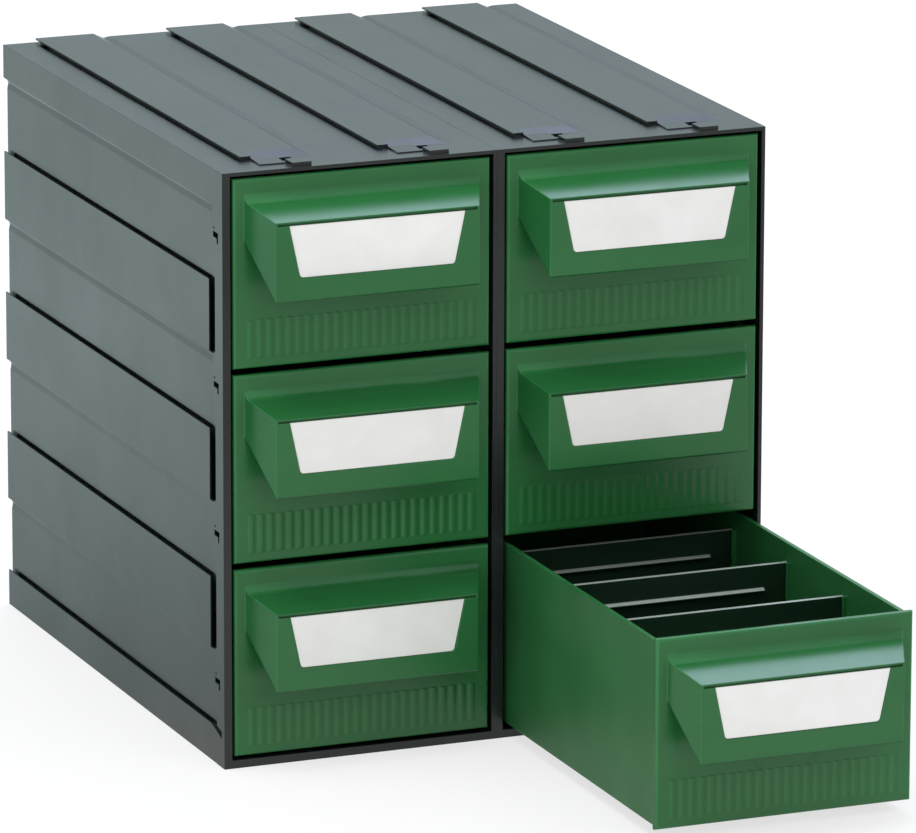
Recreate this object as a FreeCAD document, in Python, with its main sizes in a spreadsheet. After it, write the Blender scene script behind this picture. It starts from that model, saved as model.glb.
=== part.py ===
import FreeCAD, Part
import Sketcher
import math
import os
import re

doc = FreeCAD.newDocument("drawer_unit")

# Driving dimensions in millimetres
values = {
    "module_width": 112.5,
    "case_depth": 252.0,
    "wall": 1.5,
    "back_wall": 1.6,
    "shelf_thickness": 1.2,
    # hook rails that join one module to the next
    "rail_gap": 1.7,
    "rail_clear": 0.1,
    "rail_start": 15.0,
    "rail_lip": 0.7,
    "rail_lap": 2.2,
    "rail_tip_gap": 0.4,
    "rail_edge_gap": 0.25,
    "groove_side": 1.0,
    "groove_sink": 0.8,
    "sink_end": 8.0,
    "band_flank": 1.2,
    "strip_flank": 3.4,
    "channel_near": 1.1,
    "channel_far": 3.5,
    "channel_sink": 0.45,
    "flange_depth": 8.2,
    "flange_skin": 1.2,
    "strip_start": 18.0,
    "end_slot": 5.0,
    "slope_end": 3.0,
    "slope_drop": 3.0,
    "slope_width": 2.6,
    # latch in front of each top strip
    "ramp_length": 6.5,
    "tongue_offset": 4.3,
    "tongue_width": 10.2,
    "tongue_length": 10.0,
    "tongue_high": 0.75,
    "tongue_low": 0.45,
    "block_offset": 14.9,
    "block_width": 8.0,
    "block_start": 1.6,
    "block_length": 7.4,
    "block_height": 1.6,
    "block_play": 0.4,
    "pit_length": 5.6,
    "pit_width": 5.6,
    "pit_sink": 1.4,
    # snap holes with a narrow tail, in small bosses behind the left flange
    "snap_drop": 25.3,
    "snap_height": 2.2,
    "snap_start": 4.6,
    "snap_end": 10.2,
    "snap_tail": 1.4,
    "snap_tail_drop": 2.0,
    "snap_rim": 1.2,
    # runners and travel stops inside each cell
    "runner_width": 4.0,
    "runner_inset": 12.0,
    "nib_width": 4.0,
    "nib_drop": 0.8,
    "shelf_setback": 12.0,
    "nib_setback": 13.0,
    "nib_length": 2.0,
    # drawer front
    "panel_height": 74.3,
    "panel_thickness": 2.5,
    "panel_gap": 1.2,
    "panel_foot_gap": 1.3,
    "panel_recess": 0.3,
    "panel_round": 1.3,
    "close_gap": 0.2,
    # drawer box
    "drawer_wall": 1.8,
    "box_inset": 0.8,
    "box_lift": 1.0,
    "wall_drop": 1.3,
    "slide_gap": 0.15,
    "lug_height": 1.0,
    "lug_length": 6.0,
    "travel": 188.0,
    "pulled_out": 146.7,
    # cross dividers and the ribs that hold them
    "slot_first": 56.5,
    "slot_pitch": 52.0,
    "rib_width": 1.2,
    "rib_depth": 1.6,
    "divider_thickness": 2.2,
    "divider_drop": 7.0,
    "divider_play": 0.3,
    "slot_play": 0.15,
    "ledge_drop": 9.4,
    "ledge_inset": 10.5,
    "ledge_depth": 2.0,
    "ledge_thickness": 1.1,
    # hooded handle
    "hood_inset": 4.5,
    "hood_top": 8.6,
    "hood_root_height": 15.0,
    "hood_bite": 0.5,
    "hood_wall": 1.8,
    "hood_reach": 16.4,
    "hood_face_drop": 14.5,
    "hood_face_height": 31.0,
    "hood_face_half": 41.6,
    "cove_round": 4.0,
    "brow_drop": 0.5,
    "brow_gap": 0.9,
    "brow_sink": 1.2,
    "brow_inset": 0.8,
    # card label in the handle
    "card_top_half": 36.0,
    "card_foot_half": 31.7,
    "card_height": 20.6,
    "card_round": 1.5,
    "card_sink": 0.8,
    "card_thickness": 0.5,
    "card_play": 0.15,
    # upright flutes below the handle
    "flute_pitch": 3.96,
    "flute_base": 3.2,
    "flute_crest": 1.0,
    "flute_depth": 0.16,
    "flute_foot": 4.0,
    "flute_height": 15.0,
}
flute_count = 24
divider_names = ("front", "middle", "back")
row_names = ("bottom", "middle", "top")
column_names = ("left", "right")
open_drawer = ("right", "bottom")

sheet = doc.addObject("Spreadsheet::Sheet", "sizes")
for row, (alias, number) in enumerate(values.items(), start=1):
    sheet.set("A%d" % row, alias.replace("_", " "))
    sheet.set("B%d" % row, str(number))
    sheet.setAlias("B%d" % row, alias)
doc.recompute()

# Sizes that follow from the driving ones
row_pitch = "(panel_height + panel_foot_gap + shelf_thickness)"
cell_height = "(panel_height + panel_foot_gap)"
floor_top = "(rail_gap + wall)"
roof_under = "(%s + %d * %s - shelf_thickness + panel_gap)" % (floor_top, len(row_names), row_pitch)
case_height = "(%s + wall)" % roof_under
cell_left = "(rail_gap + wall)"
cell_right = "(module_width - wall)"
cell_middle = "((%s + %s) / 2)" % (cell_left, cell_right)
rail_height = "(rail_gap - rail_clear)"
band = "(%s / 16)" % case_height
band_tops = ["%d * %s" % (step, band) for step in (1, 5, 9, 13)]
band_feet = ["%d * %s" % (step, band) for step in (3, 7, 11, 15)]
strip = "(module_width / 8)"
strip_pitch = "(module_width / 2)"
strip_lefts = (strip, "5 * " + strip)
strip_rights = ("3 * " + strip, "7 * " + strip)
runner_height = "(panel_foot_gap + box_lift - slide_gap)"
panel_half = "((%s - %s) / 2 - panel_gap)" % (cell_right, cell_left)
box_half = "(%s - box_inset)" % panel_half
drawer_length = "(case_depth - back_wall - panel_recess - close_gap)"
inner_half = "(%s - drawer_wall)" % box_half
wall_top = "(panel_height - wall_drop)"
inner_floor = "(box_lift + drawer_wall)"
lug_start = "(travel + nib_setback + nib_length - panel_recess)"
hood_half = "(%s - hood_inset)" % panel_half
divider_height = "(%s - divider_drop - %s)" % (wall_top, inner_floor)
divider_half = "(%s - divider_play)" % inner_half
slot_half = "(divider_thickness / 2 + slot_play)"
hood_root = "(panel_height - hood_top)"
face_top = "(panel_height - hood_face_drop)"
face_foot = "(%s - hood_face_height)" % face_top
brow_top = "(%s - brow_drop)" % face_top
card_top = "(%s - brow_gap)" % brow_top
card_foot = "(%s - card_height)" % card_top


def bind(text):
    # Turns the words of a size into references to the sheet's cells.
    def refer(found):
        word = found.group(0)
        return "sizes." + word if word in values else word
    return re.sub(r"[a-z_]+", refer, text)


def origin_part(body, role):
    for feature in body.Origin.OriginFeatures:
        if feature.Role == role:
            return feature


def new_body(label):
    body = doc.addObject("PartDesign::Body", label)
    body.Label = label
    return body


def new_sketch(body, name, plane, offset, loops):
    # A sketch on one of the body's own planes, moved along its normal, with closed outlines.
    sketch = body.newObject("Sketcher::SketchObject", name)
    sketch.AttachmentSupport = (origin_part(body, plane), [""])
    sketch.MapMode = "FlatFace"
    sketch.setExpression("AttachmentOffset.Base.z", bind(offset))
    for corners in loops:
        add_outline(sketch, corners)
    return sketch


def add_outline(sketch, corners):
    # Straight edges in a ring; each corner is held by its own two distances from the sketch's origin.
    first = sketch.GeometryCount
    count = len(corners)
    ring = []
    for step in range(count):
        turn = 2 * math.pi * step / count
        ring.append(FreeCAD.Vector(10 * math.cos(turn), 10 * math.sin(turn), 0))
    for step in range(count):
        sketch.addGeometry(Part.LineSegment(ring[step], ring[(step + 1) % count]), False)
    for step in range(count):
        follower = first + (step + 1) % count
        sketch.addConstraint(Sketcher.Constraint("Coincident", first + step, 2, follower, 1))
    for step, corner in enumerate(corners):
        for kind, axis, text in (("DistanceX", -2, corner[0]), ("DistanceY", -1, corner[1])):
            if text == "0":
                sketch.addConstraint(Sketcher.Constraint("PointOnObject", first + step, 1, axis))
            else:
                index = sketch.addConstraint(Sketcher.Constraint(kind, -1, 1, first + step, 1, 5.0))
                sketch.setExpression("Constraints[%d]" % index, bind(text))


def box_loop(left, right, low, high):
    return ((left, low), (right, low), (right, high), (left, high))


def pad(body, sketch, length, back=False):
    feature = body.newObject("PartDesign::Pad", sketch.Name + "_pad")
    feature.Profile = sketch
    feature.setExpression("Length", bind(length))
    feature.Reversed = back
    settle(body, feature, 1)
    return feature


def pocket(body, sketch, length, back=False):
    feature = body.newObject("PartDesign::Pocket", sketch.Name + "_pocket")
    feature.Profile = sketch
    feature.setExpression("Length", bind(length))
    feature.Reversed = back
    settle(body, feature, -1)
    return feature


def loft(body, first, others, add):
    kind = "PartDesign::AdditiveLoft" if add else "PartDesign::SubtractiveLoft"
    feature = body.newObject(kind, first.Name + "_loft")
    feature.Profile = first
    feature.Sections = others
    feature.Ruled = True
    settle(body, feature, 1 if add else -1)
    return feature


def fillet(body, name, base, radius, wanted, sign):
    # Rounds every edge whose bounding box is one that is wanted.
    names = []
    for index, edge in enumerate(base.Shape.Edges, start=1):
        if wanted(edge.BoundBox):
            names.append("Edge%d" % index)
    feature = body.newObject("PartDesign::Fillet", name)
    feature.Base = (base, names)
    feature.setExpression("Radius", bind(radius))
    settle(body, feature, sign)
    return feature


def repeat(body, original, axis, length, count):
    feature = body.newObject("PartDesign::LinearPattern", original.Name + "_row")
    feature.Originals = [original]
    feature.Direction = (origin_part(body, axis), [""])
    feature.setExpression("Length", bind(length))
    feature.Occurrences = count
    body.Tip = feature
    doc.recompute()
    return feature


def settle(body, feature, sign):
    # Each feature must really add or take away material.
    before = body.Shape.Volume if body.Shape and not body.Shape.isNull() else 0.0
    body.Tip = feature
    doc.recompute()
    if (body.Shape.Volume - before) * sign <= 0:
        raise RuntimeError(feature.Name + " changes nothing")


def band_loop(foot, top):
    # A raised band with a sloping lower flank.
    flank_top = foot + " + band_flank"
    return (("rail_clear", flank_top), ("rail_gap", foot), ("rail_gap", top), ("rail_clear", top))


def make_case(label):
    body = new_body(label)
    front = "XZ_Plane"
    run = "case_depth - rail_start"
    behind = "-rail_start"
    floors = ["%s + %d * %s" % (floor_top, row, row_pitch) for row in range(len(row_names))]
    # shell, three cells and the mouth that the drawer fronts sit in
    outline = box_loop("rail_gap", "module_width", "rail_gap", case_height)
    pad(body, new_sketch(body, label + "_shell", front, "0", [outline]), "case_depth", True)
    outlines = [box_loop(cell_left, cell_right, floor, floor + " + " + cell_height) for floor in floors]
    pocket(body, new_sketch(body, label + "_cells", front, "0", outlines), "case_depth - back_wall")
    outline = box_loop(cell_left, cell_right, floor_top, roof_under)
    pocket(body, new_sketch(body, label + "_mouth", front, "0", [outline]), "shelf_setback")
    # runners on each floor and stops under each ceiling
    inner = cell_left + " + runner_inset"
    outer = cell_right + " - runner_inset"
    outlines = []
    for floor in floors:
        top = floor + " + " + runner_height
        outlines.append(box_loop(inner, inner + " + runner_width", floor, top))
        outlines.append(box_loop(outer + " - runner_width", outer, floor, top))
    sketch = new_sketch(body, label + "_runners", front, "-shelf_setback", outlines)
    pad(body, sketch, "case_depth - back_wall - shelf_setback", True)
    outlines = []
    for floor in floors:
        ceiling = floor + " + " + cell_height
        low = ceiling + " - nib_drop"
        outlines.append(box_loop(cell_left, cell_left + " + nib_width", low, ceiling))
        outlines.append(box_loop(cell_right + " - nib_width", cell_right, low, ceiling))
    pad(body, new_sketch(body, label + "_nibs", front, "-nib_setback", outlines), "nib_length", True)
    # flange round the left and lower edges of the front
    outline = (
        ("0", "0"),
        ("module_width", "0"),
        ("module_width", "rail_gap"),
        ("rail_gap", "rail_gap"),
        ("rail_gap", case_height),
        ("0", case_height),
    )
    pad(body, new_sketch(body, label + "_flange", front, "0", [outline]), "flange_depth", True)
    # raised bands on the left, with a shallow channel below each
    outlines = [band_loop(foot, top) for foot, top in zip(band_feet, band_tops[1:])]
    pad(body, new_sketch(body, label + "_left_bands", front, behind, outlines), run, True)
    outline = band_loop(band_feet[-1], case_height)
    sketch = new_sketch(body, label + "_left_top_band", front, "-flange_depth", [outline])
    pad(body, sketch, "case_depth - flange_depth", True)
    outlines = []
    for foot in band_feet:
        deepest = ("rail_gap + channel_sink", foot + " - channel_near")
        outlines.append((("rail_gap", foot), ("rail_gap", foot + " - channel_far"), deepest))
    pocket(body, new_sketch(body, label + "_left_channels", front, behind, outlines), run)
    # the lowest band slopes down to the flange below a slanting groove
    outline = box_loop("rail_clear", "rail_gap", "0", band)
    pad(body, new_sketch(body, label + "_left_foot_band", front, behind, [outline]), run, True)
    slope_share = "slope_drop * (rail_start - flange_depth) / (rail_start - slope_end)"
    outline = (
        ("flange_depth", "0"),
        ("rail_start", "0"),
        ("rail_start", band),
        ("flange_depth", "%s - %s" % (band, slope_share)),
    )
    pad(body, new_sketch(body, label + "_left_nose", "YZ_Plane", "rail_clear", [outline]), rail_height)
    outline = (
        ("rail_start", band),
        ("rail_start", band + " + groove_side"),
        ("flange_depth", "%s + groove_side - %s" % (band, slope_share)),
        ("flange_depth", "%s + slope_width - %s" % (band, slope_share)),
        ("slope_end", band + " + slope_width - slope_drop"),
        ("slope_end", band + " - slope_drop"),
    )
    sketch = new_sketch(body, label + "_left_slant", "YZ_Plane", "0", [outline])
    pocket(body, sketch, "rail_gap + groove_sink", True)
    # undercut along the upper edge of each band, sunk into the wall except near the back
    slot_left = "rail_clear + rail_lip"
    slot_right = "rail_gap + groove_sink"
    outlines = [box_loop(slot_left, "rail_gap", top + " - rail_lap", top) for top in band_tops]
    pocket(body, new_sketch(body, label + "_left_grooves", front, behind, outlines), run)
    outlines = []
    for top in band_tops:
        outlines.append(box_loop("rail_gap", slot_right, top + " - rail_lap", top + " + groove_side"))
    sketch = new_sketch(body, label + "_left_sinks", front, behind, outlines)
    pocket(body, sketch, run + " - sink_end")
    # slot between the flange and the front end of each band
    ends = []
    unders = []
    for foot, top in zip(band_feet, band_tops[1:]):
        high = top + " - rail_lap"
        ends.append(box_loop("rail_gap", slot_right, foot + " + groove_side", high))
        unders.append(box_loop(slot_left, "rail_gap", foot + " + band_flank", high))
    sketch = new_sketch(body, label + "_left_ends", front, "-flange_depth", ends)
    pocket(body, sketch, "rail_start + end_slot - flange_depth")
    pocket(body, new_sketch(body, label + "_left_unders", front, behind, unders), "end_slot")
    # bands on the right that hook over the next module's left bands
    lap_reach = "(rail_lap - rail_tip_gap)"
    lip_side = "module_width + %s - rail_lip" % rail_height
    bands = []
    hooks = []
    for top, foot in zip(band_tops, band_feet):
        low = "%s - %s" % (top, lap_reach)
        high = foot + " - rail_edge_gap"
        bands.append(box_loop("module_width", "module_width + " + rail_height, low, high))
        hooks.append(box_loop("module_width", lip_side, low, top + " + rail_edge_gap"))
    pad(body, new_sketch(body, label + "_right_bands", front, behind, bands), run, True)
    pocket(body, new_sketch(body, label + "_right_grooves", front, behind, hooks), run)
    # strips on the roof with a sloping right flank and a shallow channel beside it
    roof = case_height
    crest = roof + " + " + rail_height
    before = "-strip_start"
    back_run = "case_depth - strip_start"
    strips = []
    channels = []
    grooves = []
    sinks = []
    for left, right in zip(strip_lefts, strip_rights):
        flank_top = right + " - strip_flank"
        strips.append(((left, roof), (right, roof), (flank_top, crest), (left, crest)))
        deepest = (right + " + channel_near", roof + " - channel_sink")
        channels.append(((right, roof), (right + " + channel_far", roof), deepest))
        far = left + " + rail_lap"
        grooves.append(box_loop(left, far, roof, crest + " - rail_lip"))
        sinks.append(box_loop(left + " - groove_side", far, roof + " - groove_sink", roof))
    pad(body, new_sketch(body, label + "_roof_strips", front, before, strips), back_run, True)
    pocket(body, new_sketch(body, label + "_roof_channels", front, before, channels), back_run)
    # hooks along the left edges of the strips
    pocket(body, new_sketch(body, label + "_roof_grooves", front, before, grooves), back_run)
    pocket(body, new_sketch(body, label + "_roof_sinks", front, before, sinks), back_run + " - sink_end")
    # each strip slopes down at its front, to a latch tongue and beside it to the roof
    tongue_left = strip + " + tongue_offset"
    tongue_right = tongue_left + " + tongue_width"
    beside = "2 * %s - tongue_offset - tongue_width" % strip
    slopes = (
        ("_ramp", tongue_left, "tongue_width", roof + " + tongue_high"),
        ("_side_ramp", tongue_right, beside, roof),
    )
    for name, left, width, low in slopes:
        outline = (
            ("strip_start", low),
            ("strip_start + ramp_length", crest),
            ("strip_start", crest),
        )
        feature = pocket(body, new_sketch(body, label + name, "YZ_Plane", left, [outline]), width, True)
        repeat(body, feature, "X_Axis", strip_pitch, len(strip_lefts))
    outline = (
        ("strip_start - tongue_length", roof),
        ("strip_start", roof),
        ("strip_start", roof + " + tongue_high"),
        ("strip_start - tongue_length", roof + " + tongue_low"),
    )
    sketch = new_sketch(body, label + "_roof_tongue", "YZ_Plane", tongue_left, [outline])
    feature = pad(body, sketch, "tongue_width")
    repeat(body, feature, "X_Axis", strip_pitch, len(strip_lefts))
    # stop blocks and pits beside the tongues, and hollows for them behind the lower flange
    blocks = []
    pits = []
    hollows = []
    for left in strip_lefts:
        near = left + " + tongue_offset"
        pit = near + " + tongue_width"
        pits.append(box_loop(pit, pit + " + pit_width", "strip_start - pit_length", "strip_start"))
        block = left + " + block_offset"
        block_far = block + " + block_width"
        blocks.append(box_loop(block, block_far, roof, roof + " + block_height"))
        hollows.append(box_loop(near + " - block_play", block_far + " + block_play", "0", "rail_gap"))
    pad(body, new_sketch(body, label + "_roof_blocks", front, "-block_start", blocks), "block_length", True)
    pocket(body, new_sketch(body, label + "_roof_pits", "XY_Plane", roof, pits), "pit_sink")
    sketch = new_sketch(body, label + "_flange_hollows", front, "-flange_skin", hollows)
    pocket(body, sketch, "flange_depth - flange_skin")
    # feet under the floor, hooked to take the roof strips of a module below
    tip = " + " + lap_reach
    outlines = [
        box_loop("rail_gap", strip_lefts[0] + tip, "0", "rail_gap"),
        box_loop(strip_rights[0] + " + rail_edge_gap", strip_lefts[1] + tip, "0", "rail_gap"),
        box_loop(strip_rights[1] + " + rail_edge_gap", "module_width", "0", "rail_gap"),
    ]
    pad(body, new_sketch(body, label + "_feet", front, behind, outlines), run, True)
    outlines = []
    for left in strip_lefts:
        outlines.append(box_loop(left + " - rail_edge_gap", left + tip, "rail_lip", "rail_gap"))
    pocket(body, new_sketch(body, label + "_foot_grooves", front, behind, outlines), run)
    # snap holes in their bosses
    bosses = []
    holes = []
    for foot in band_feet:
        middle = "%s + %s - snap_drop" % (foot, band)
        low = middle + " - snap_height / 2"
        high = middle + " + snap_height / 2"
        far = "snap_end + snap_rim"
        bosses.append(box_loop("flange_depth", far, low + " - snap_rim", high + " + snap_rim"))
        tail_side = "snap_start + snap_tail"
        tail_foot = low + " - snap_tail_drop"
        holes.append((
            ("snap_start", high),
            ("snap_end", high),
            ("snap_end", low),
            (tail_side, low),
            (tail_side, tail_foot),
            ("snap_start", tail_foot),
        ))
    pad(body, new_sketch(body, label + "_snap_bosses", "YZ_Plane", "rail_clear", bosses), rail_height)
    sketch = new_sketch(body, label + "_snaps", "YZ_Plane", "0", holes)
    pocket(body, sketch, "rail_gap + groove_sink", True)
    return body


def hood_root_edge(box):
    # The long level edge where the top of the handle meets the panel.
    bite = values["hood_bite"]
    level = abs(box.Center.z - values["panel_height"] + values["hood_top"])
    return level < bite and abs(box.Center.y) < bite / 2 and box.XLength > values["hood_reach"]


def make_drawer(label):
    body = new_body(label)
    front = "XZ_Plane"
    # front panel with rounded edges, then the box behind it
    outline = box_loop("-" + panel_half, panel_half, "0", "panel_height")
    panel = pad(body, new_sketch(body, label + "_panel", front, "0", [outline]), "panel_thickness", True)
    half_depth = values["panel_thickness"] / 2
    fillet(body, label + "_rounding", panel, "panel_round", lambda box: box.YMax < half_depth, -1)
    outline = box_loop("-" + box_half, box_half, "box_lift", wall_top)
    sketch = new_sketch(body, label + "_box", front, "-panel_thickness", [outline])
    pad(body, sketch, drawer_length + " - panel_thickness", True)
    outline = box_loop("-" + inner_half, inner_half, inner_floor, "panel_height")
    sketch = new_sketch(body, label + "_inside", front, "-panel_thickness", [outline])
    pocket(body, sketch, drawer_length + " - panel_thickness - drawer_wall")
    # pairs of ribs that hold the cross dividers
    outlines = []
    for side in ("-", ""):
        near = side + inner_half
        far = side + "(%s - rib_depth)" % inner_half
        left = near if side else far
        right = far if side else near
        before = "slot_first - " + slot_half
        after = "slot_first + " + slot_half
        outlines.append(box_loop(left, right, before + " - rib_width", before))
        outlines.append(box_loop(left, right, after, after + " + rib_width"))
    ribs = pad(body, new_sketch(body, label + "_ribs", "XY_Plane", inner_floor, outlines), divider_height)
    repeat(body, ribs, "Y_Axis", "%d * slot_pitch" % (len(divider_names) - 1), len(divider_names))
    # stop lugs on the side walls
    outlines = [
        box_loop("-" + box_half, "-" + inner_half, lug_start, lug_start + " + lug_length"),
        box_loop(inner_half, box_half, lug_start, lug_start + " + lug_length"),
    ]
    pad(body, new_sketch(body, label + "_lugs", "XY_Plane", wall_top, outlines), "lug_height")
    # hooded handle: a wedge whose sides draw in, with a cove above it, hollow and open underneath
    outline = (
        ("hood_bite", hood_root),
        ("-hood_reach", face_top),
        ("-hood_reach", face_foot),
        ("hood_bite", hood_root + " - hood_root_height"),
    )
    pad(body, new_sketch(body, label + "_hood", "YZ_Plane", "-" + hood_half, [outline]), "2 * " + hood_half)
    outlines = []
    for side in ("-", ""):
        wide = side + hood_half
        narrow = side + "hood_face_half"
        outlines.append(((wide, "0"), (wide, "-hood_reach"), (narrow, "-hood_reach")))
    sketch = new_sketch(body, label + "_hood_sides", "XY_Plane", "0", outlines)
    hood = pocket(body, sketch, "panel_height", True)
    fillet(body, label + "_cove", hood, "cove_round", hood_root_edge, 1)
    inner_root = hood_half + " - hood_wall"
    outline = box_loop("-(%s)" % inner_root, inner_root, "0", hood_root + " - 2 * hood_wall")
    root = new_sketch(body, label + "_hollow", front, "0", [outline])
    inner_face = "hood_face_half - hood_wall"
    outline = box_loop("-(%s)" % inner_face, inner_face, "-hood_face_height", face_top + " - hood_wall")
    face = new_sketch(body, label + "_hollow_face", front, "hood_reach - hood_wall", [outline])
    loft(body, root, [face], False)
    # groove under the handle's brow and the recess for the card below it
    brow_half = "(hood_face_half - brow_inset)"
    outline = box_loop("-" + brow_half, brow_half, card_top, brow_top)
    pocket(body, new_sketch(body, label + "_brow", front, "hood_reach", [outline]), "brow_sink")
    outline = card_loop("0")
    recess = pocket(body, new_sketch(body, label + "_recess", front, "hood_reach", [outline]), "card_sink")
    fillet(body, label + "_recess_corners", recess, "card_round", card_corner, 1)
    # upright flutes under the handle
    middle = "(flute_pitch * %s)" % ((flute_count - 1) / 2)
    outline = (
        ("-%s - flute_base / 2" % middle, "panel_thickness / 2"),
        ("-%s - flute_base / 2" % middle, "0"),
        ("-%s - flute_crest / 2" % middle, "-flute_depth"),
        ("-%s + flute_crest / 2" % middle, "-flute_depth"),
        ("-%s + flute_base / 2" % middle, "0"),
        ("-%s + flute_base / 2" % middle, "panel_thickness / 2"),
    )
    sketch = new_sketch(body, label + "_flute", "XY_Plane", "flute_foot", [outline])
    flute = pad(body, sketch, "flute_height")
    repeat(body, flute, "X_Axis", "%d * flute_pitch" % (flute_count - 1), flute_count)
    return body


def card_loop(play):
    foot = "(card_foot_half - %s)" % play
    top = "(card_top_half - %s)" % play
    low = "%s + %s" % (card_foot, play)
    high = "%s - %s" % (card_top, play)
    return (("-" + foot, low), (foot, low), (top, high), ("-" + top, high))


def card_corner(box):
    # The short upright edges at the two lower corners of the card or of its recess.
    play = values["card_play"]
    drop = values["hood_face_drop"] + values["brow_drop"] + values["brow_gap"] + values["card_height"]
    aside = abs(abs(box.Center.x) - values["card_foot_half"])
    level = abs(box.Center.z - values["panel_height"] + drop)
    thin = max(box.XLength, box.ZLength) < play
    return thin and box.YLength > play and max(aside, level) < 2 * play


def make_card(label):
    # A card that lies on the floor of the recess in the handle's face.
    body = new_body(label)
    outline = card_loop("card_play")
    sketch = new_sketch(body, label + "_outline", "XZ_Plane", "hood_reach - card_sink", [outline])
    card = pad(body, sketch, "card_thickness")
    fillet(body, label + "_corners", card, "card_round", card_corner, -1)
    return body


def make_divider(label):
    # A cross plate with a narrow ledge for a strip label along its front.
    body = new_body(label)
    outline = box_loop("-" + divider_half, divider_half, "0", divider_height)
    pad(body, new_sketch(body, label + "_plate", "XZ_Plane", "0", [outline]), "divider_thickness", True)
    ledge_half = "(%s - ledge_inset)" % divider_half
    ledge_top = "(%s - ledge_drop)" % divider_height
    outline = box_loop("-" + ledge_half, ledge_half, ledge_top + " - ledge_thickness", ledge_top)
    pad(body, new_sketch(body, label + "_ledge", "XZ_Plane", "0", [outline]), "ledge_depth")
    return body


def place(body, across, along, up):
    for axis, text in (("x", across), ("y", along), ("z", up)):
        body.setExpression("Placement.Base." + axis, bind(text))


# The cabinet stands with the middle of its foot at the origin and its front towards -Y
pieces = []
front_plane = "(-case_depth / 2)"
for column, column_name in enumerate(column_names):
    column_left = "(%d * module_width)" % (column - 1)
    case = make_case(column_name + "_case")
    place(case, column_left, front_plane, "0")
    pieces.append(case)
    for row, row_name in enumerate(row_names):
        suffix = column_name + "_" + row_name
        across = "%s + %s" % (column_left, cell_middle)
        along = front_plane + " + panel_recess"
        if (column_name, row_name) == open_drawer:
            along += " - pulled_out"
        up = "%s + panel_foot_gap + %d * %s" % (floor_top, row, row_pitch)
        drawer = make_drawer("drawer_" + suffix)
        place(drawer, across, along, up)
        card = make_card("label_" + suffix)
        place(card, across, along, up)
        pieces.extend((drawer, card))
        for number, divider_name in enumerate(divider_names):
            divider = make_divider("divider_%s_%s" % (suffix, divider_name))
            slot = "%s + slot_first + %d * slot_pitch - divider_thickness / 2" % (along, number)
            place(divider, across, slot, up + " + " + inner_floor)
            pieces.append(divider)
doc.recompute()

for item in doc.Objects:
    if "Invalid" in item.State or "Error" in item.State:
        raise RuntimeError(item.Name + " is in error")
os.makedirs("parts", exist_ok=True)
for piece in pieces:
    if piece.Shape.isNull() or not piece.Shape.isValid():
        raise RuntimeError(piece.Label + " has no sound solid")
    piece.Shape.exportStep("parts/%s.step" % piece.Label)
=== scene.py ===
import math
import bpy
from mathutils import Matrix, Vector

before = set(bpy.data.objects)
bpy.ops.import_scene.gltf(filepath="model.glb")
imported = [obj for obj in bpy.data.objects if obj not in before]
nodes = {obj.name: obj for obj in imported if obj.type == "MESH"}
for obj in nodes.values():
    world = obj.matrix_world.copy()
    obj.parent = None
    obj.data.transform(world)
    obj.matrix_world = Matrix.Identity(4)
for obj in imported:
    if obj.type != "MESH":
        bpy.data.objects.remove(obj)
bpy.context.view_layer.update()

scene = bpy.context.scene
mm = 0.001

# the shot: a long lens from the left and a little above, lengths in mm
shot = {
    "turn": -22.206,  # degrees round from straight ahead
    "rise": 14.552,
    "roll": 0.15,
    "distance": 3315.3,
    "aim": (0.0, -26.0, 118.0),
    "slideRight": 23.05,
    "slideUp": -11.98,
    "focalPixels": 8353.2,
    "imageWidth": 916,
    "sensor": 36.0,
    "farthest": 50000.0,
}


def setCamera():
    turn, rise, roll = (math.radians(shot[key]) for key in ("turn", "rise", "roll"))
    back = Vector((math.sin(turn) * math.cos(rise), -math.cos(turn) * math.cos(rise), math.sin(rise)))
    right = Vector((math.cos(turn), math.sin(turn), 0))
    up = back.cross(right)
    place = Vector(shot["aim"]) + back * shot["distance"] + right * shot["slideRight"] + up * shot["slideUp"]
    tiltedRight = right * math.cos(roll) + up * math.sin(roll)
    tiltedUp = up * math.cos(roll) - right * math.sin(roll)
    data = bpy.data.cameras.new("shot")
    data.sensor_width = shot["sensor"]
    data.lens = shot["sensor"] * shot["focalPixels"] / shot["imageWidth"]
    data.clip_end = shot["farthest"] * mm
    camera = bpy.data.objects.new("shot", data)
    turned = Matrix((tiltedRight, tiltedUp, back)).transposed()
    camera.matrix_world = Matrix.Translation(place * mm) @ turned.to_4x4()
    scene.collection.objects.link(camera)
    scene.camera = camera
    print("camera set")


# small helpers for node trees
noiseRoughness = 0.55
noiseSpan = (0.3, 0.7)  # a noise seldom leaves it
wholeSpan = (0.0, 1.0)
leanSpan = (-1.0, 1.0)  # a normal's share along one axis


def newTree(name):
    mat = bpy.data.materials.new(name)
    mat.use_nodes = True
    return mat, mat.node_tree


def addNode(tree, kind, **settings):
    node = tree.nodes.new(kind)
    for key, value in settings.items():
        if key in node.inputs:
            node.inputs[key].default_value = value
        else:
            setattr(node, key, value)
    return node


def addNoise(tree, coords, scale, detail, stretch=None):
    noise = addNode(tree, "ShaderNodeTexNoise", Scale=scale, Detail=detail, Roughness=noiseRoughness)
    source = coords.outputs["Object"]
    if stretch:
        mapping = addNode(tree, "ShaderNodeMapping", Scale=stretch)
        tree.links.new(source, mapping.inputs["Vector"])
        source = mapping.outputs["Vector"]
    tree.links.new(source, noise.inputs["Vector"])
    return noise.outputs["Fac"]


def addRamp(tree, factor, stops):
    ramp = addNode(tree, "ShaderNodeValToRGB")
    elements = ramp.color_ramp.elements
    while len(elements) < len(stops):
        elements.new(0.5)  # set to its own place below
    for element, (position, colour) in zip(elements, stops):
        element.position = position
        element.color = (*colour, 1)
    tree.links.new(factor, ramp.inputs["Fac"])
    return ramp.outputs["Color"]


# two colours that drift into each other with a noise
def addDrift(tree, noise, low, high):
    return addRamp(tree, noise, tuple(zip(noiseSpan, (low, high))))


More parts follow.
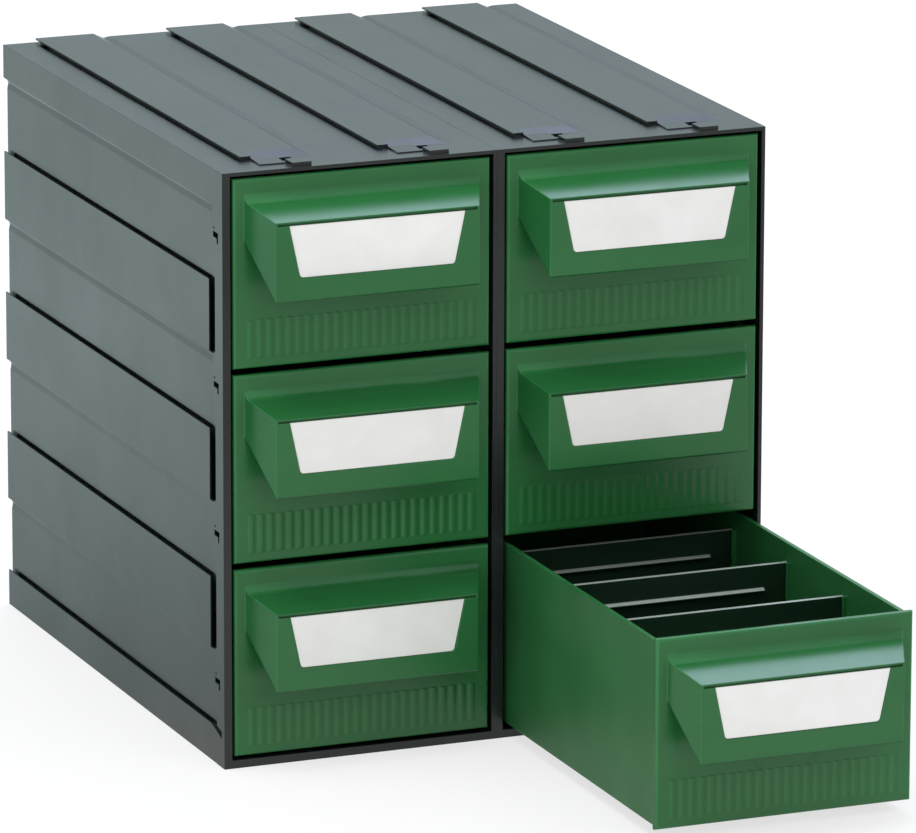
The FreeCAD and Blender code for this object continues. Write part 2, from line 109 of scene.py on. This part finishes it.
def addSpan(tree, value, source, result):
    span = addNode(tree, "ShaderNodeMapRange")
    span.inputs["From Min"].default_value, span.inputs["From Max"].default_value = source
    span.inputs["To Min"].default_value, span.inputs["To Max"].default_value = result
    tree.links.new(value, span.inputs["Value"])
    return span.outputs["Result"]


# a value for each way that a face can lean along one axis
def addLeanRamp(tree, lean, values):
    low, high = leanSpan
    stops = [((place - low) / (high - low), (value,) * 3) for place, value in values]
    return addRamp(tree, addSpan(tree, lean, leanSpan, wholeSpan), stops)


def addSum(tree, first, second):
    total = addNode(tree, "ShaderNodeMath", operation="ADD")
    tree.links.new(first, total.inputs[0])
    tree.links.new(second, total.inputs[1])
    return total.outputs["Value"]


def addBump(tree, height, depth, strength, below=None):
    bump = addNode(tree, "ShaderNodeBump", Strength=strength, Distance=depth * mm)
    tree.links.new(height, bump.inputs["Height"])
    if below:
        tree.links.new(below, bump.inputs["Normal"])
    return bump.outputs["Normal"]


# the looks of the moulded plastics: depths and the radius of rounded edges in mm
caseLook = {
    "deep": (0.0075, 0.0095, 0.0095),
    "light": (0.012, 0.0155, 0.0155),
    "smooth": 0.23,
    "rough": 0.31,
    "ior": 1.59,
    "patchScale": 22.0,
    "patchDetail": 3.0,
    "flowScale": 9.0,
    "flowDetail": 4.0,
    "flowStretch": (3.0, 0.5, 3.0),  # long marks from front to back
    "grainScale": 2600.0,
    "grainDetail": 2.0,
    "grainDepth": 0.03,
    "grainStrength": 0.2,
    "rippleDepth": 0.2,
    "rippleStrength": 1.0,
    "roundRadius": 0.3,
    "roundSamples": 4,
    # latch ramps lean a little to the front and are scuffed
    "rampRough": ((-0.45, 0.0), (-0.35, 0.22), (-0.12, 0.22), (-0.05, 0.0)),
}
drawerLook = {
    "deep": (0.0135, 0.113, 0.029),
    "light": (0.02, 0.138, 0.038),
    "smooth": 0.2,
    "rough": 0.28,
    "ior": 1.52,
    "patchScale": 26.0,
    "patchDetail": 3.0,
    "flowScale": 14.0,
    "flowDetail": 4.0,
    "flowStretch": (0.6, 2.0, 2.0),  # level marks across the fronts
    "grainScale": 3000.0,
    "grainDetail": 2.0,
    "grainDepth": 0.02,
    "grainStrength": 0.18,
    "rippleDepth": 0.15,
    "rippleStrength": 1.0,
    "roundRadius": 0.8,
    "roundSamples": 6,
    "sideRough": 0.25,  # the walls that rub are duller
    "sideLean": (0.95, 0.99),
    # painted light by lean to the side: painted highlights round the edges and on one flank of each flute,
    # painted shade on the other
    "paintedLightByLean": (
        (-0.9, 1.0), (-0.84, 1.5), (-0.32, 1.5), (-0.23, 1.0),
        (-0.184, 1.22), (-0.096, 1.22), (-0.06, 1.0),
        (0.06, 1.0), (0.096, 0.84), (0.184, 0.84), (0.23, 1.0),
        (0.32, 1.5), (0.84, 1.5), (0.9, 1.0),
    ),
}
dividerLook = {
    **drawerLook,
    "deep": (0.005, 0.016, 0.0085),
    "light": (0.009, 0.025, 0.0135),
    "roundRadius": 0.4,
    "edge": (0.3, 0.34, 0.32),  # painted highlight: pale on faces that look up, for the light that the dividers' cut top edges catch
    "edgeLean": (0.2, 0.55),
}


# the way a face looks, in the piece's own axes
def addFacing(tree, normal):
    turned = addNode(tree, "ShaderNodeVectorTransform", vector_type="NORMAL")
    turned.convert_from = "WORLD"
    turned.convert_to = "OBJECT"
    facing = addNode(tree, "ShaderNodeSeparateXYZ")
    tree.links.new(normal, turned.inputs["Vector"])
    tree.links.new(turned.outputs["Vector"], facing.inputs["Vector"])
    return facing


def addWear(tree, look, gloss, facing):
    if "sideRough" in look:
        aside = addNode(tree, "ShaderNodeMath", operation="ABSOLUTE")
        tree.links.new(facing.outputs["X"], aside.inputs[0])
        rubbed = addSpan(tree, aside.outputs["Value"], look["sideLean"], (0.0, look["sideRough"]))
        gloss = addSum(tree, gloss, rubbed)
    if "rampRough" in look:
        gloss = addSum(tree, gloss, addLeanRamp(tree, facing.outputs["Y"], look["rampRough"]))
    return gloss


# painted light: highlights and shade mixed into the colour by the way a face leans
def addPaintedLight(tree, look, colour, facing):
    if "paintedLightByLean" in look:
        paintedLean = addNode(tree, "ShaderNodeMix", data_type="RGBA", blend_type="MULTIPLY", Factor=1.0)
        tree.links.new(colour, paintedLean.inputs["A"])
        tree.links.new(addLeanRamp(tree, facing.outputs["X"], look["paintedLightByLean"]), paintedLean.inputs["B"])
        colour = paintedLean.outputs["Result"]
    # painted highlight: faces that look up are mixed towards a pale colour
    if "edge" in look:
        paintedTop = addNode(tree, "ShaderNodeMix", data_type="RGBA")
        paintedTop.inputs["B"].default_value = (*look["edge"], 1)
        upward = addSpan(tree, facing.outputs["Z"], look["edgeLean"], wholeSpan)
        tree.links.new(upward, paintedTop.inputs["Factor"])
        tree.links.new(colour, paintedTop.inputs["A"])
        colour = paintedTop.outputs["Result"]
    return colour


# moulded plastic: rounded edges, fine spark grain, soft flow marks, patches of handling polish, and painted
# highlights and shade by the way a face leans
def mouldedPlastic(name, look):
    mat, tree = newTree(name)
    shader = tree.nodes["Principled BSDF"]
    shader.inputs["IOR"].default_value = look["ior"]
    coords = addNode(tree, "ShaderNodeTexCoord")
    patches = addNoise(tree, coords, look["patchScale"], look["patchDetail"])
    flow = addNoise(tree, coords, look["flowScale"], look["flowDetail"], look["flowStretch"])
    grain = addNoise(tree, coords, look["grainScale"], look["grainDetail"])
    edge = addNode(tree, "ShaderNodeBevel", samples=look["roundSamples"], Radius=look["roundRadius"] * mm)
    rounded = edge.outputs["Normal"]
    facing = addFacing(tree, rounded)
    colour = addDrift(tree, flow, look["deep"], look["light"])
    gloss = addSpan(tree, patches, noiseSpan, (look["smooth"], look["rough"]))
    ripple = addBump(tree, patches, look["rippleDepth"], look["rippleStrength"], rounded)
    normal = addBump(tree, grain, look["grainDepth"], look["grainStrength"], ripple)
    tree.links.new(addPaintedLight(tree, look, colour, facing), shader.inputs["Base Color"])
    tree.links.new(addWear(tree, look, gloss, facing), shader.inputs["Roughness"])
    tree.links.new(normal, shader.inputs["Normal"])
    return mat


# card: short paper fibres and a faint warm cloud
cardLook = {
    "shade": (0.755, 0.745, 0.72),
    "bright": (0.81, 0.805, 0.785),
    "cloudScale": 60.0,
    "cloudDetail": 4.0,
    "fibreScale": 900.0,
    "fibreDetail": 3.0,
    "fibreStretch": (0.35, 1.0, 1.6),
    "fibreDepth": 0.02,  # mm
    "fibreStrength": 0.5,
    "roughness": 0.82,
}


def labelCard():
    mat, tree = newTree("labelCard")
    shader = tree.nodes["Principled BSDF"]
    shader.inputs["Roughness"].default_value = cardLook["roughness"]
    coords = addNode(tree, "ShaderNodeTexCoord")
    cloud = addNoise(tree, coords, cardLook["cloudScale"], cardLook["cloudDetail"])
    fibre = addNoise(tree, coords, cardLook["fibreScale"], cardLook["fibreDetail"], cardLook["fibreStretch"])
    colour = addDrift(tree, cloud, cardLook["shade"], cardLook["bright"])
    normal = addBump(tree, fibre, cardLook["fibreDepth"], cardLook["fibreStrength"])
    tree.links.new(colour, shader.inputs["Base Color"])
    tree.links.new(normal, shader.inputs["Normal"])
    return mat


# every CAD node keeps its shape; a bevel softens its edges, as far as its narrow faces leave room
edges = {
    "case": {"width": 0.4, "segments": 3},  # mm
    "drawer": {"width": 0.45, "segments": 3},
    "divider": {"width": 0.6, "segments": 3},
    "label": {"width": 0.08, "segments": 2},
    "mergeDistance": 0.01,
    "flatAngle": 1.0,  # degrees
    "sharpAngle": 28.0,
}


def softenEdges(piece, kind):
    weld = piece.modifiers.new("merge", "WELD")
    weld.merge_threshold = edges["mergeDistance"] * mm
    flat = piece.modifiers.new("flatten", "DECIMATE")
    flat.decimate_type = "DISSOLVE"
    flat.angle_limit = math.radians(edges["flatAngle"])
    soft = piece.modifiers.new("soften", "BEVEL")
    soft.width = edges[kind]["width"] * mm
    soft.segments = edges[kind]["segments"]
    soft.limit_method = "ANGLE"
    soft.angle_limit = math.radians(edges["sharpAngle"])
    soft.harden_normals = False


def dressNodes():
    finishes = {
        "case": mouldedPlastic("casePlastic", caseLook),
        "drawer": mouldedPlastic("drawerPlastic", drawerLook),
        "divider": mouldedPlastic("dividerPlastic", dividerLook),
        "label": labelCard(),
    }
    for name, piece in nodes.items():
        kind = "case" if name.endswith("_case") else name.split("_")[0]
        piece.data.materials.clear()
        piece.data.materials.append(finishes[kind])
        softenEdges(piece, kind)
    print("dressed", len(nodes), "nodes")


# surroundings: white to the camera, dimmer as light and in what the plastic mirrors
surround = {
    "seen": (1.0, 1.0, 1.0),
    "seenStrength": 1.0,
    "light": (1.0, 1.0, 0.99),
    "lightStrength": 0.84,
    "mirrored": (0.82, 1.0, 0.99),
    "mirroredStrength": 0.68,
}


def addBackground(tree, part):
    shade = addNode(tree, "ShaderNodeBackground", Strength=surround[part + "Strength"])
    shade.inputs["Color"].default_value = (*surround[part], 1)
    return shade.outputs["Background"]


def addChoice(tree, factor, first, second):
    mix = addNode(tree, "ShaderNodeMixShader")
    tree.links.new(factor, mix.inputs["Fac"])
    tree.links.new(first, mix.inputs[1])
    tree.links.new(second, mix.inputs[2])
    return mix.outputs["Shader"]


def setWorld():
    world = bpy.data.worlds.new("studio")
    scene.world = world
    world.use_nodes = True
    tree = world.node_tree
    tree.nodes.clear()
    path = addNode(tree, "ShaderNodeLightPath")
    seen = addNode(tree, "ShaderNodeMath", operation="MAXIMUM")
    tree.links.new(path.outputs["Is Camera Ray"], seen.inputs[0])
    tree.links.new(path.outputs["Is Transmission Ray"], seen.inputs[1])
    light, mirrored, white = (addBackground(tree, part) for part in ("light", "mirrored", "seen"))
    around = addChoice(tree, path.outputs["Is Glossy Ray"], light, mirrored)
    around = addChoice(tree, seen.outputs["Value"], around, white)
    output = addNode(tree, "ShaderNodeOutputWorld")
    tree.links.new(around, output.inputs["Surface"])


# floor: pale paper that keeps the shadow and carries a painted reflection, lengths in m
floorLook = {
    "size": 12.0,
    "colour": (0.88, 0.88, 0.88),
    "cloudShade": 0.99,  # share of that colour in the clouds
    "cloudScale": 3.0,
    "cloudDetail": 2.0,
    "roughness": 0.85,
    "white": (1.0, 1.0, 1.0),
    "lift": 0.7,  # share of that white in what the camera sees
    "mirrored": 0.92,  # share of the painted reflection tints in what the plastic reflects
    "reach": 1.0,
    "paintedReflectionTints": (  # painted reflection, darker in front of and under the cabinet for its shade; from the front of that reach to its back
        (0.14, (0.46, 0.48, 0.45)),
        (0.3, (0.66, 0.68, 0.64)),
        (0.42, (0.62, 0.64, 0.6)),
        (0.5, (0.5, 0.6, 0.6)),
        (0.62, (0.68, 0.85, 0.85)),
        (0.74, (0.83, 1.03, 1.03)),
        (0.81, (0.93, 1.17, 1.16)),
        (0.9, (0.8, 1.0, 1.0)),
    ),
}


def addGlow(tree, below, ray, share, glow):
    part = addNode(tree, "ShaderNodeMath", operation="MULTIPLY")
    tree.links.new(ray, part.inputs[0])
    part.inputs[1].default_value = share
    return addChoice(tree, part.outputs["Value"], below, glow.outputs["Emission"])


def floorPaper():
    mat, tree = newTree("floorPaper")
    shader = tree.nodes["Principled BSDF"]
    shader.inputs["Roughness"].default_value = floorLook["roughness"]
    coords = addNode(tree, "ShaderNodeTexCoord")
    cloud = addNoise(tree, coords, floorLook["cloudScale"], floorLook["cloudDetail"])
    pale = floorLook["colour"]
    shaded = [value * floorLook["cloudShade"] for value in pale]
    tree.links.new(addDrift(tree, cloud, shaded, pale), shader.inputs["Base Color"])
    path = addNode(tree, "ShaderNodeLightPath")
    white = addNode(tree, "ShaderNodeEmission", Strength=1.0)
    white.inputs["Color"].default_value = (*floorLook["white"], 1)
    paintedReflection = addNode(tree, "ShaderNodeEmission", Strength=1.0)
    depth = addNode(tree, "ShaderNodeSeparateXYZ")
    tree.links.new(coords.outputs["Object"], depth.inputs["Vector"])
    reach = (-floorLook["reach"], floorLook["reach"])
    along = addSpan(tree, depth.outputs["Y"], reach, wholeSpan)
    tree.links.new(addRamp(tree, along, floorLook["paintedReflectionTints"]), paintedReflection.inputs["Color"])
    surface = shader.outputs["BSDF"]
    surface = addGlow(tree, surface, path.outputs["Is Camera Ray"], floorLook["lift"], white)
    # painted reflection: glossy rays see a glow in these tints instead of the lit floor
    surface = addGlow(tree, surface, path.outputs["Is Glossy Ray"], floorLook["mirrored"], paintedReflection)
    tree.links.new(surface, tree.nodes["Material Output"].inputs["Surface"])
    return mat


def setFloor():
    bpy.ops.mesh.primitive_plane_add(size=floorLook["size"])
    floor = bpy.context.object
    floor.name = "floor"
    floor.data.materials.append(floorPaper())


# lamps: a broad softbox high at the back, a smaller one overhead and one in front, lengths in m
lampAim = (0.0, -0.05, 0.12)
lamps = {
    "softbox": {
        "place": (0.75, 1.15, 1.75),
        "size": (1.8, 1.2),
        "power": 27.0,
        "colour": (0.64, 0.71, 1.0),
        "mirrored": True,
    },
    "overhead": {
        "place": (-0.3, -0.2, 1.3),
        "size": (0.8, 0.5),
        "power": 7.0,
        "colour": (0.95, 0.98, 1.0),
        "mirrored": False,
    },
    "front": {
        "place": (0.6, -1.2, 1.5),
        "size": (1.4, 0.9),
        "power": 5.0,
        "colour": (1.0, 1.0, 0.99),
        "mirrored": False,
    },
}


def setLamps():
    for name, make in lamps.items():
        lamp = bpy.data.lights.new(name, "AREA")
        lamp.shape = "RECTANGLE"
        lamp.size, lamp.size_y = make["size"]
        lamp.energy = make["power"]
        lamp.color = make["colour"]
        holder = bpy.data.objects.new(name, lamp)
        holder.location = make["place"]
        holder.visible_glossy = make["mirrored"]
        towards = Vector(lampAim) - holder.location
        holder.rotation_euler = towards.to_track_quat("-Z", "Y").to_euler()
        scene.collection.objects.link(holder)


def setStudio():
    setWorld()
    setFloor()
    setLamps()
    scene.view_settings.view_transform = "Standard"
    print("studio set")


dressNodes()
setStudio()
setCamera()
